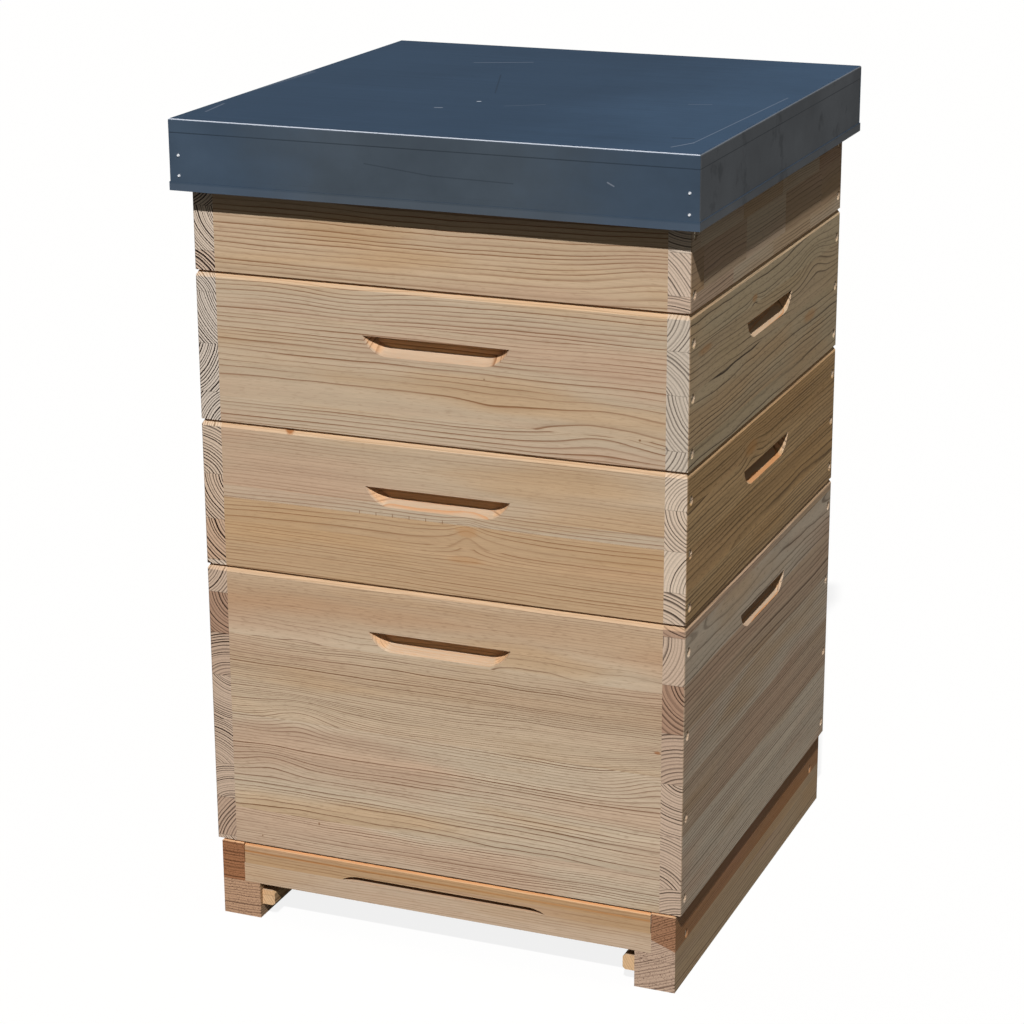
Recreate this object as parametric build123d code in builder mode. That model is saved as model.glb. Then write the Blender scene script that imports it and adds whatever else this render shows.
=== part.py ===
from build123d import *
from math import sqrt
import os

# A twelve-frame hive of stacked square boxes: mesh floor, brood box, two supers, top feeder,
# inner cover and sheet-metal roof. Millimetres, +X to the hive's right, -Y to its front, +Z up,
# with the origin on the ground at the middle of the footprint.

os.makedirs("parts", exist_ok=True)

# Boxes
box_width = 504.0
box_depth = 504.0
wall = 22.0
brood_height = 300.0
super_height = 150.0
feeder_height = 100.0
bevel_height = 6.5
bevel_depth = 3.5
corner_round = 2.0

# Hand holds milled into the boards
handle_length = 151.0
handle_flat = 97.0
handle_height = 19.0
handle_depth = 12.0
handle_slope = 7.0
handle_drop = 50.0

# Countersunk wood screws and their clearance holes
screw_length = 50.0
shank_radius = 2.0
head_radius = 3.5
head_sink = 1.4
screw_clearance = 0.1
slot_length = 4.0
slot_width = 0.9
slot_depth = 1.4
screw_foot = 15.0
screw_head_room = 30.0
brood_screw_rows = 4
super_screw_rows = 3
feeder_screw_rows = 2

# Hanging frames
frame_pitch = 37.0
frame_gap = 0.4
end_space = 6.0
top_space = 7.0
brood_foot_space = 7.0
super_foot_space = 2.0
rest_width = 11.0
lug_clearance = 1.0
lug_thickness = 10.0
bar_gap = 12.0
top_bar_thickness = 20.0
end_bar_thickness = 10.0
shoulder_height = 60.0
shoulder_slope = 12.0
bottom_bar_thickness = 10.0
bottom_bar_width = 19.0
foundation_thickness = 3.0
foundation_end_gap = 4.0

# Floor
floor_inset = 5.0
rail_width = 42.0
rebate_width = 17.0
step_height = 39.0
rail_chamfer = 3.0
sill_height = 21.0
sill_depth = 68.0
block_height = 22.0
block_gap = 2.0
block_side_clearance = 0.75
block_chamfer = 2.5
notch_length = 222.0
notch_flat = 184.0
notch_height = 5.4
runner_width = 14.0
runner_height = 16.0
runner_setback = 5.0
runner_chamfer = 2.5
tray_sheet = 3.0
tray_rim_height = 6.0
tray_head_room = 3.0
tray_side_clearance = 1.5
tray_front_setback = 30.0
wire_thickness = 0.8
wire_width = 1.6
wire_pitch = 26.0
mesh_overlap = 20.0
mesh_clearance = 1.0

# Feeder inside the shallow top box
feeder_floor_thickness = 9.0
feeder_floor_rebate = 8.0
passage_length = 110.0
passage_width = 44.0
passage_wall = 10.0
cap_wall = 6.0
cap_side_room = 12.0
cap_head_room = 8.0
cap_top_gap = 17.0
syrup_notch_width = 12.0
syrup_notch_height = 5.0
syrup_notch_pitch = 40.0

# Inner cover and roof
cover_thickness = 20.0
cleat_width = 30.0
insulation_thickness = 28.0
insulation_clearance = 0.5
sheet = 0.8
skirt_height = 69.0
roof_side_gap = 12.0
roof_end_gap = 17.0
bend_radius = 1.2
hem_height = 8.5
tab_width = 24.0
rivet_inset = 9.5
rivet_rise = 14.5
rivet_spacing = 19.5
rivet_radius = 1.0
rivet_head_radius = 1.6
rivet_head_height = 0.9
rivet_clearance = 0.1

# Sizes and levels that follow
inner_width = box_width - 2 * wall
inner_depth = box_depth - 2 * wall
bar_width = frame_pitch - bar_gap
sill_top = step_height + sill_height
floor_height = sill_top + block_height + block_gap
brood_bottom = floor_height
lower_super_bottom = brood_bottom + brood_height
upper_super_bottom = lower_super_bottom + super_height
feeder_bottom = upper_super_bottom + super_height
feeder_floor_top = feeder_bottom + feeder_floor_thickness
cover_bottom = feeder_bottom + feeder_height
cap_top = cover_bottom - cap_top_gap
passage_top = cap_top - cap_wall - cap_head_room
insulation_bottom = cover_bottom + cover_thickness
roof_top = insulation_bottom + insulation_thickness + sheet
roof_bottom = roof_top - skirt_height
roof_width = box_width + 2 * (roof_side_gap + sheet)
roof_depth = box_depth + 2 * (roof_end_gap + sheet)
outer_bend = bend_radius + sheet
insulation_inset = outer_bend + insulation_clearance
rail_outer = box_width / 2 - floor_inset
rail_inner = rail_outer - rail_width
sill_end = rail_inner + rebate_width
runner_top = step_height - tray_head_room - tray_rim_height
screw_line = (box_depth - wall) / 2
head_height = head_radius - shank_radius
bottom_up = (Align.CENTER, Align.CENTER, Align.MIN)
top_down = (Align.CENTER, Align.CENTER, Align.MAX)


def keep(builder, name):
    """Labels a finished sub-part and writes it."""
    builder.part.label = name
    export_step(builder.part, f"parts/{name}.step")


def screw_rows(bottom, height, rows):
    """Heights of one corner's column of screws in a box."""
    span = height - screw_foot - screw_head_room
    return [bottom + screw_foot + span * row / (rows - 1) for row in range(rows)]


def screw_planes(side, heights):
    """Planes on a side board's outer face where its screws enter, facing outwards."""
    return [
        Plane(origin=(side * box_width / 2, end * screw_line, z), z_dir=(side, 0, 0))
        for end in (-1, 1)
        for z in heights
    ]


def handle_outline(plane, inset):
    """The hand hold's outline: straight top, flat bottom and round rising ends, drawn in by inset."""
    reach = (handle_length - handle_flat) / 2
    end_radius = (reach**2 + handle_height**2) / (2 * handle_height)
    centre_height = end_radius - handle_height
    drop = handle_height - inset
    tip = handle_flat / 2 + sqrt((end_radius - inset) ** 2 - centre_height**2)
    with BuildSketch(plane) as outline:
        with BuildLine():
            Line((-tip, 0), (tip, 0))
            TangentArc((handle_flat / 2, -drop), (tip, 0), tangent=(1, 0))
            Line((handle_flat / 2, -drop), (-handle_flat / 2, -drop))
            TangentArc((-handle_flat / 2, -drop), (-tip, 0), tangent=(-1, 0))
        make_face()
    return outline.sketch


def handle_sections(face):
    """The hand hold's mouth on the board's face and its smaller back inside the board."""
    return [handle_outline(face, 0), handle_outline(face.offset(-handle_depth), handle_slope)]


def side_board(name, side, bottom, height, rows, handle):
    """A left or right board, full depth, screwed to the ends of the front and back boards."""
    outer = side * box_width / 2
    top = bottom + height
    with BuildPart() as board:
        with BuildSketch(Plane.XY.offset(bottom)):
            with Locations((outer - side * wall / 2, 0)):
                Rectangle(wall, box_depth)
        extrude(amount=height)
        crown = board.faces().sort_by(Axis.Z)[-1]
        rim = crown.edges()
        outer_rim = rim - rim.group_by(Axis.X)[0 if side > 0 else -1]
        chamfer(outer_rim, bevel_depth, bevel_height, reference=crown)
        fillet(board.edges().filter_by(Axis.Z).group_by(Axis.X)[-1 if side > 0 else 0], corner_round)
        with Locations(*screw_planes(side, screw_rows(bottom, height, rows))):
            CounterSinkHole(
                shank_radius + screw_clearance,
                head_radius + screw_clearance + head_sink,
                counter_sink_angle=90,
            )
        if handle:
            face = Plane(origin=(outer, 0, top - handle_drop), x_dir=(0, side, 0), z_dir=(side, 0, 0))
            loft(sections=handle_sections(face), mode=Mode.SUBTRACT)
        if not handle:
            with Locations((0, 0, bottom)):
                Box(*feeder_floor_size(), align=bottom_up, mode=Mode.SUBTRACT)
    keep(board, name)


def end_board(name, end, bottom, height, rows, handle):
    """A front or back board between the side boards, rebated on top to carry the frames."""
    outer = end * box_depth / 2
    top = bottom + height
    with BuildPart() as board:
        with BuildSketch(Plane.XY.offset(bottom)):
            with Locations((0, outer - end * wall / 2)):
                Rectangle(inner_width, wall)
        extrude(amount=height)
        crown = board.faces().sort_by(Axis.Z)[-1]
        outer_rim = crown.edges().sort_by(Axis.Y)[0 if end < 0 else -1]
        chamfer(outer_rim, bevel_depth, bevel_height, reference=crown)
        tips = [
            Plane(origin=(side * inner_width / 2, end * screw_line, z), z_dir=(side, 0, 0))
            for side in (-1, 1)
            for z in screw_rows(bottom, height, rows)
        ]
        with Locations(*tips):
            Hole(shank_radius + screw_clearance, depth=screw_length - wall + screw_clearance)
        if handle:
            face = Plane(origin=(0, outer, top - handle_drop), x_dir=(-end, 0, 0), z_dir=(0, end, 0))
            loft(sections=handle_sections(face), mode=Mode.SUBTRACT)
            with Locations((0, end * inner_depth / 2, top)):
                Box(inner_width, 2 * rest_width, 2 * rest_height(), mode=Mode.SUBTRACT)
        if not handle:
            with Locations((0, 0, bottom)):
                Box(*feeder_floor_size(), align=bottom_up, mode=Mode.SUBTRACT)
    keep(board, name)


def screws(name, planes):
    """Countersunk screws with a cross recess, heads just below the planes."""
    with BuildPart() as group:
        with Locations(*[plane.offset(-head_sink) for plane in planes]):
            Cylinder(shank_radius, screw_length - head_sink, align=top_down)
            Cone(shank_radius, head_radius, head_height, align=top_down)
            Box(slot_length, slot_width, slot_depth, align=top_down, mode=Mode.SUBTRACT)
            Box(slot_width, slot_length, slot_depth, align=top_down, mode=Mode.SUBTRACT)
    keep(group, name)


def box_of_boards(prefix, bottom, height, rows, handle):
    """Four boards and their screws."""
    end_board(f"{prefix}_front_board", -1, bottom, height, rows, handle)
    end_board(f"{prefix}_back_board", 1, bottom, height, rows, handle)
    side_board(f"{prefix}_left_board", -1, bottom, height, rows, handle)
    side_board(f"{prefix}_right_board", 1, bottom, height, rows, handle)
    heights = screw_rows(bottom, height, rows)
    screws(f"{prefix}_screws", screw_planes(-1, heights) + screw_planes(1, heights))


def rest_height():
    """Depth of the rebate below the box's top, which leaves the bee space over the frames."""
    return top_space + lug_thickness


def frame_set(prefix, bottom, height, foot_space):
    """The hanging frames of one box, side by side, running from front to back."""
    count = int(inner_width // frame_pitch)
    places = [frame_pitch * (index - (count - 1) / 2) for index in range(count)]
    frame_top = bottom + height - top_space
    frame_foot = bottom + foot_space
    half = inner_depth / 2 - end_space
    inside = half - end_bar_thickness
    lug_end = inner_depth / 2 + rest_width - lug_clearance
    lug_foot = frame_top - lug_thickness
    bar_foot = frame_top - top_bar_thickness
    sheet_foot = frame_foot + bottom_bar_thickness

    with BuildPart() as top_bars:
        for place in places:
            with BuildSketch(Plane.YZ.offset(place - bar_width / 2)):
                with BuildLine():
                    Polyline(
                        (-lug_end, frame_top),
                        (lug_end, frame_top),
                        (lug_end, lug_foot),
                        (inside, lug_foot),
                        (inside, bar_foot),
                        (-inside, bar_foot),
                        (-inside, lug_foot),
                        (-lug_end, lug_foot),
                        close=True,
                    )
                make_face()
        extrude(amount=bar_width)
    keep(top_bars, f"{prefix}_top_bars")

    shoulder = (frame_pitch - frame_gap) / 2
    narrow = bar_width / 2
    shoulder_foot = lug_foot - shoulder_height
    with BuildPart() as end_bars:
        for near in (-half, inside):
            with BuildSketch(Plane.XZ.offset(-near)):
                with Locations(*[(place, 0) for place in places]):
                    Polygon(
                        (shoulder, lug_foot),
                        (-shoulder, lug_foot),
                        (-shoulder, shoulder_foot),
                        (-narrow, shoulder_foot - shoulder_slope),
                        (-narrow, frame_foot),
                        (narrow, frame_foot),
                        (narrow, shoulder_foot - shoulder_slope),
                        (shoulder, shoulder_foot),
                        align=None,
                    )
        extrude(amount=-end_bar_thickness)
    keep(end_bars, f"{prefix}_end_bars")

    with BuildPart() as bottom_bars:
        with Locations(*[(place, 0, frame_foot) for place in places]):
            Box(bottom_bar_width, 2 * inside, bottom_bar_thickness, align=bottom_up)
    keep(bottom_bars, f"{prefix}_bottom_bars")

    with BuildPart() as foundations:
        with Locations(*[(place, 0, sheet_foot) for place in places]):
            Box(
                foundation_thickness,
                2 * (inside - foundation_end_gap),
                bar_foot - sheet_foot,
                align=bottom_up,
            )
    keep(foundations, f"{prefix}_foundations")


def sill_screw_planes(side):
    """Planes on a rail's outer face where the screws into the front and back sills enter."""
    reach = (box_depth - sill_depth) / 2
    height = step_height + sill_height / 2
    return [
        Plane(origin=(side * rail_outer, end * reach, height), z_dir=(side, 0, 0))
        for end in (-1, 1)
    ]


def floor_rail(name, side):
    """An L-section rail that stands on the ground, with a step for the sills."""
    with BuildPart() as rail:
        with BuildSketch(Plane.XZ.offset(-box_depth / 2)):
            with BuildLine():
                Polyline(
                    (side * rail_outer, 0),
                    (side * rail_outer, floor_height),
                    (side * sill_end, floor_height),
                    (side * sill_end, step_height),
                    (side * rail_inner, step_height),
                    (side * rail_inner, 0),
                    close=True,
                )
            make_face()
        extrude(amount=box_depth)
        rim = rail.edges().group_by(Axis.Z)[-1]
        chamfer(rim - rim.group_by(Axis.X)[0 if side > 0 else -1], rail_chamfer)
        with Locations(*sill_screw_planes(side)):
            CounterSinkHole(
                shank_radius + screw_clearance,
                head_radius + screw_clearance + head_sink,
                counter_sink_angle=90,
            )
    keep(rail, name)


def floor_sill(name, end):
    """A flat cross piece on the rails' steps, held by one screw through each rail."""
    into_rail = rail_outer - sill_end
    middle = end * (box_depth - sill_depth) / 2
    tips = [
        Plane(origin=(side * sill_end, middle, step_height + sill_height / 2), z_dir=(side, 0, 0))
        for side in (-1, 1)
    ]
    with BuildPart() as sill:
        with Locations((0, middle, step_height)):
            Box(2 * sill_end, sill_depth, sill_height, align=bottom_up)
        with Locations(*tips):
            Hole(shank_radius + screw_clearance, depth=screw_length - into_rail + screw_clearance)
    keep(sill, name)


def floor_cross_pieces():
    """The two sills and the bar that closes the floor's back above its sill."""
    floor_sill("floor_front_sill", -1)
    floor_sill("floor_back_sill", 1)
    with BuildPart() as back_bar:
        with Locations((0, (box_depth - wall) / 2, sill_top)):
            Box(2 * sill_end, wall, floor_height - sill_top, align=bottom_up)
    keep(back_bar, "floor_back_bar")


def floor_side_pieces(side, word):
    """One rail, the batten on its step that carries the mesh and the tray runner on its face."""
    floor_rail(f"floor_{word}_rail", side)
    with BuildPart() as batten:
        with Locations((side * (rail_inner + sill_end) / 2, 0, step_height)):
            Box(rebate_width, box_depth - 2 * sill_depth, sill_height, align=bottom_up)
    keep(batten, f"floor_{word}_batten")
    with BuildPart() as runner:
        with Locations((side * (rail_inner - runner_width / 2), 0, runner_top)):
            Box(runner_width, box_depth - 2 * runner_setback, runner_height, align=top_down)
        inner_face = runner.faces().sort_by(Axis.X)[0 if side > 0 else -1]
        chamfer(inner_face.edges().filter_by(Axis.Y), runner_chamfer)
    keep(runner, f"floor_{word}_runner")


def mesh_screen():
    """The ventilated floor: cross wires on the sills and battens, with long wires welded on top."""
    width = 2 * (sill_end - mesh_clearance)
    depth = box_depth - 2 * (sill_depth - mesh_overlap)
    rows = int((depth - wire_width) // wire_pitch) + 1
    columns = int((width - wire_width) // wire_pitch) + 1
    with BuildPart() as cross_wires:
        with BuildSketch(Plane.XY.offset(sill_top)):
            with GridLocations(0, wire_pitch, 1, rows):
                Rectangle(width, wire_width)
        extrude(amount=wire_thickness)
    keep(cross_wires, "floor_mesh_cross_wires")
    with BuildPart() as long_wires:
        with BuildSketch(Plane.XY.offset(sill_top + wire_thickness)):
            with GridLocations(wire_pitch, 0, columns, 1):
                Rectangle(wire_width, depth)
        extrude(amount=wire_thickness)
    keep(long_wires, "floor_mesh_long_wires")


def entrance_block():
    """The loose bar on the front sill, notched underneath as the bees' way in."""
    front = -box_depth / 2
    notch_top = sill_top + notch_height
    with BuildPart() as block:
        with Locations((0, front + wall / 2, sill_top)):
            Box(2 * (sill_end - block_side_clearance), wall, block_height, align=bottom_up)
        chamfer(block.edges().group_by(Axis.Z)[-1].sort_by(Axis.Y)[0], block_chamfer)
        with BuildSketch(Plane.XZ.offset(-front)):
            with BuildLine():
                Line((-notch_length / 2, sill_top), (notch_length / 2, sill_top))
                TangentArc((notch_flat / 2, notch_top), (notch_length / 2, sill_top), tangent=(1, 0))
                Line((notch_flat / 2, notch_top), (-notch_flat / 2, notch_top))
                TangentArc((-notch_flat / 2, notch_top), (-notch_length / 2, sill_top), tangent=(-1, 0))
            make_face()
        extrude(amount=-wall, mode=Mode.SUBTRACT)
    keep(block, "entrance_block")


def inspection_tray():
    """A thin rimmed tray on the runners, pushed in from the back under the mesh."""
    width = 2 * (rail_inner - tray_side_clearance)
    depth = box_depth - tray_front_setback
    with BuildPart() as tray:
        with Locations((0, tray_front_setback / 2, runner_top)):
            Box(width, depth, tray_rim_height, align=bottom_up)
        with Locations((0, tray_front_setback / 2, runner_top + tray_sheet)):
            Box(
                width - 2 * tray_sheet,
                depth - 2 * tray_sheet,
                tray_rim_height,
                align=bottom_up,
                mode=Mode.SUBTRACT,
            )
    keep(tray, "inspection_tray")


def feeder_floor_size():
    """The feeder's floor panel, let into a rebate under the four boards."""
    return (
        inner_width + 2 * feeder_floor_rebate,
        inner_depth + 2 * feeder_floor_rebate,
        feeder_floor_thickness,
    )


def feeder_inside():
    """Floor panel, bee passage and the loose cap that covers the passage."""
    slot = (passage_length - 2 * passage_wall, passage_width - 2 * passage_wall)
    passage_height = passage_top - feeder_floor_top
    with BuildPart() as panel:
        with Locations((0, 0, feeder_bottom)):
            Box(*feeder_floor_size(), align=bottom_up)
            Box(*slot, feeder_floor_thickness, align=bottom_up, mode=Mode.SUBTRACT)
    keep(panel, "feeder_floor")

    with BuildPart() as passage:
        with Locations((0, 0, feeder_floor_top)):
            Box(passage_length, passage_width, passage_height, align=bottom_up)
            Box(*slot, passage_height, align=bottom_up, mode=Mode.SUBTRACT)
    keep(passage, "feeder_passage")

    room = (passage_length + 2 * cap_side_room, passage_width + 2 * cap_side_room)
    room_height = passage_height + cap_head_room
    outer_width = room[1] + 2 * cap_wall
    with BuildPart() as cap:
        with Locations((0, 0, feeder_floor_top)):
            Box(room[0] + 2 * cap_wall, outer_width, room_height + cap_wall, align=bottom_up)
            Box(*room, room_height, align=bottom_up, mode=Mode.SUBTRACT)
        with Locations(*[(step * syrup_notch_pitch, 0, feeder_floor_top) for step in (-1, 0, 1)]):
            Box(syrup_notch_width, outer_width, syrup_notch_height, align=bottom_up, mode=Mode.SUBTRACT)
    keep(cap, "feeder_cap")


def inner_cover():
    """The wooden lid on the feeder: a panel between two cleats across its grain."""
    with BuildPart() as panel:
        with Locations((0, 0, cover_bottom)):
            Box(box_width - 2 * cleat_width, box_depth, cover_thickness, align=bottom_up)
    keep(panel, "inner_cover_panel")
    for side, word in ((-1, "left"), (1, "right")):
        with BuildPart() as cleat:
            with Locations((side * (box_width - cleat_width) / 2, 0, cover_bottom)):
                Box(cleat_width, box_depth, cover_thickness, align=bottom_up)
        keep(cleat, f"inner_cover_{word}_cleat")


def corners(across, along, height):
    """Four places at one height, alike on all four corners."""
    return [(side * across, end * along, height) for side in (-1, 1) for end in (-1, 1)]


def rivet_planes():
    """Planes on the roof's front and back skirts, facing outwards, at the corner rivets."""
    heights = (roof_bottom + rivet_rise, roof_bottom + rivet_rise + rivet_spacing)
    return [
        Plane(
            origin=(side * (roof_width / 2 - rivet_inset), end * roof_depth / 2, z),
            x_dir=(-end, 0, 0),
            z_dir=(0, end, 0),
        )
        for side in (-1, 1)
        for end in (-1, 1)
        for z in heights
    ]


def roof():
    """Folded sheet cover with an outward hem and corner tabs, its insulation and its rivets."""
    tab_reach = (roof_width / 2 - sheet - tab_width / 2, roof_depth / 2 - 1.5 * sheet)
    bend_reach = (roof_width / 2 - outer_bend, roof_depth / 2 - sheet - outer_bend)
    hem_top = roof_bottom + hem_height
    with BuildPart() as cover:
        with BuildSketch(Plane.XY.offset(roof_bottom)):
            Rectangle(roof_width, roof_depth)
        extrude(amount=skirt_height)
        fillet(cover.edges().group_by(Axis.Z)[-1], outer_bend)
        with BuildSketch(Plane.XY.offset(roof_bottom)):
            Rectangle(roof_width - 2 * sheet, roof_depth - 2 * sheet)
        extrude(amount=skirt_height - sheet, mode=Mode.SUBTRACT)
        ceiling = cover.faces().filter_by(Axis.Z).sort_by(Axis.Z)[-2]
        fillet(ceiling.edges(), bend_radius)
        with Locations(*corners(*tab_reach, roof_bottom)):
            Box(tab_width, sheet, skirt_height - outer_bend, align=bottom_up)

        # The side skirts bend in behind the front and back ones, which leaves a seam at each corner.
        with BuildSketch(Plane.XY.offset(hem_top)):
            Rectangle(roof_width, 2 * (roof_depth / 2 - sheet))
            Rectangle(2 * bend_reach[0], roof_depth, mode=Mode.SUBTRACT)
            Rectangle(roof_width, 2 * bend_reach[1], mode=Mode.SUBTRACT)
            with Locations(*corners(*bend_reach, 0)):
                Circle(outer_bend, mode=Mode.SUBTRACT)
        extrude(amount=skirt_height - hem_height - outer_bend, mode=Mode.SUBTRACT)

        with BuildSketch(Plane.XY.offset(roof_bottom)):
            Rectangle(roof_width + 2 * sheet, roof_depth + 2 * sheet)
            Rectangle(roof_width, roof_depth, mode=Mode.SUBTRACT)
        extrude(amount=hem_height)
        with Locations(*rivet_planes()):
            Hole(rivet_radius + rivet_clearance, depth=2 * sheet)
    keep(cover, "roof_sheet")

    with BuildPart() as insulation:
        with Locations((0, 0, insulation_bottom)):
            Box(
                roof_width - 2 * insulation_inset,
                roof_depth - 2 * insulation_inset,
                insulation_thickness,
                align=bottom_up,
            )
    keep(insulation, "roof_insulation")

    with BuildPart() as rivets:
        with Locations(*rivet_planes()):
            Cylinder(rivet_radius, 2 * sheet, align=top_down)
            Cone(rivet_head_radius, rivet_radius, rivet_head_height, align=bottom_up)
        with Locations(*[plane.offset(-2 * sheet) for plane in rivet_planes()]):
            Cone(rivet_radius, rivet_head_radius, rivet_head_height, align=top_down)
    keep(rivets, "roof_rivets")


floor_cross_pieces()
floor_side_pieces(-1, "left")
floor_side_pieces(1, "right")
mesh_screen()
screws("floor_screws", sill_screw_planes(-1) + sill_screw_planes(1))
entrance_block()
inspection_tray()

box_of_boards("brood", brood_bottom, brood_height, brood_screw_rows, True)
frame_set("brood", brood_bottom, brood_height, brood_foot_space)
box_of_boards("lower_super", lower_super_bottom, super_height, super_screw_rows, True)
frame_set("lower_super", lower_super_bottom, super_height, super_foot_space)
box_of_boards("upper_super", upper_super_bottom, super_height, super_screw_rows, True)
frame_set("upper_super", upper_super_bottom, super_height, super_foot_space)

box_of_boards("feeder", feeder_bottom, feeder_height, feeder_screw_rows, False)
feeder_inside()
inner_cover()
roof()
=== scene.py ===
import math
from dataclasses import dataclass

import bpy
from mathutils import Matrix, Vector


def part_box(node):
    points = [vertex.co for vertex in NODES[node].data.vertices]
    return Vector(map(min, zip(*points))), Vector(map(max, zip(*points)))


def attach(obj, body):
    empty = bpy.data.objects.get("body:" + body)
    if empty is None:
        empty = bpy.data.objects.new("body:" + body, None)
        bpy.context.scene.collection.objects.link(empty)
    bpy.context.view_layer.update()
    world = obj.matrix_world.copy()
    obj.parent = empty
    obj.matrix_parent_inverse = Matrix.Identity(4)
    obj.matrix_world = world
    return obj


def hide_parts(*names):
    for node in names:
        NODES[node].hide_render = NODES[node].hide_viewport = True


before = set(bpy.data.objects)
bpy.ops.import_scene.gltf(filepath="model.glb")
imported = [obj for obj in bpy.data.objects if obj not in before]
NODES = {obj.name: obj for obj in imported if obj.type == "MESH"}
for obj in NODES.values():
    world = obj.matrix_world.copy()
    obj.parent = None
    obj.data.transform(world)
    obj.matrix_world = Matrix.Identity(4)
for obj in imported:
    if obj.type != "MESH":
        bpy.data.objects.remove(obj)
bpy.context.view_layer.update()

# The photograph's viewpoint, in metres and degrees
CAMERA_PLACE = Vector((1.00582, -2.54837, 1.28103))
CAMERA_AZIMUTH = 22.01
CAMERA_ELEVATION = 18.01
CAMERA_ROLL = -0.25
CAMERA_LENS = 96.64
CAMERA_SENSOR = 36.0

# Light
KEY_DIRECTION = Vector((0.175, -0.633, 0.755))
KEY_STRENGTH = 4.3
KEY_ANGLE = 1.2
SUN_COLOUR = (1.0, 0.98, 0.96)
FILL_DIRECTION = Vector((-0.58, 0.73, 0.36))
FILL_STRENGTH = 1.7
FILL_ANGLE = 25.0
AMBIENT_STRENGTH = 0.13
AMBIENT_COLOUR = (1.0, 0.93, 0.76)
FLOOR_SIZE = 60.0
FLOOR_BOUNCE = 0.08
FLOOR_SEEN = 0.86
FLOOR_SHADOW_SHARE = 0.14

BOXES = ("brood", "lower_super", "upper_super", "feeder")
FRAME_PITCH = 0.037


def srgb(red, green, blue):
    """A colour given in 0 to 255 screen values, as linear values with alpha."""
    values = [channel / 255 for channel in (red, green, blue)]
    linear = [v / 12.92 if v <= 0.04045 else ((v + 0.055) / 1.055) ** 2.4 for v in values]
    return (*linear, 1.0)


# Places of the colour sockets on the Mix node, which has a set of sockets for each kind of value
MIX_FIRST = 6
MIX_SECOND = 7
MIX_RESULT = 2

NOISE_MIDDLE = 0.5
SCRATCH_CORE = 0.3


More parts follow.
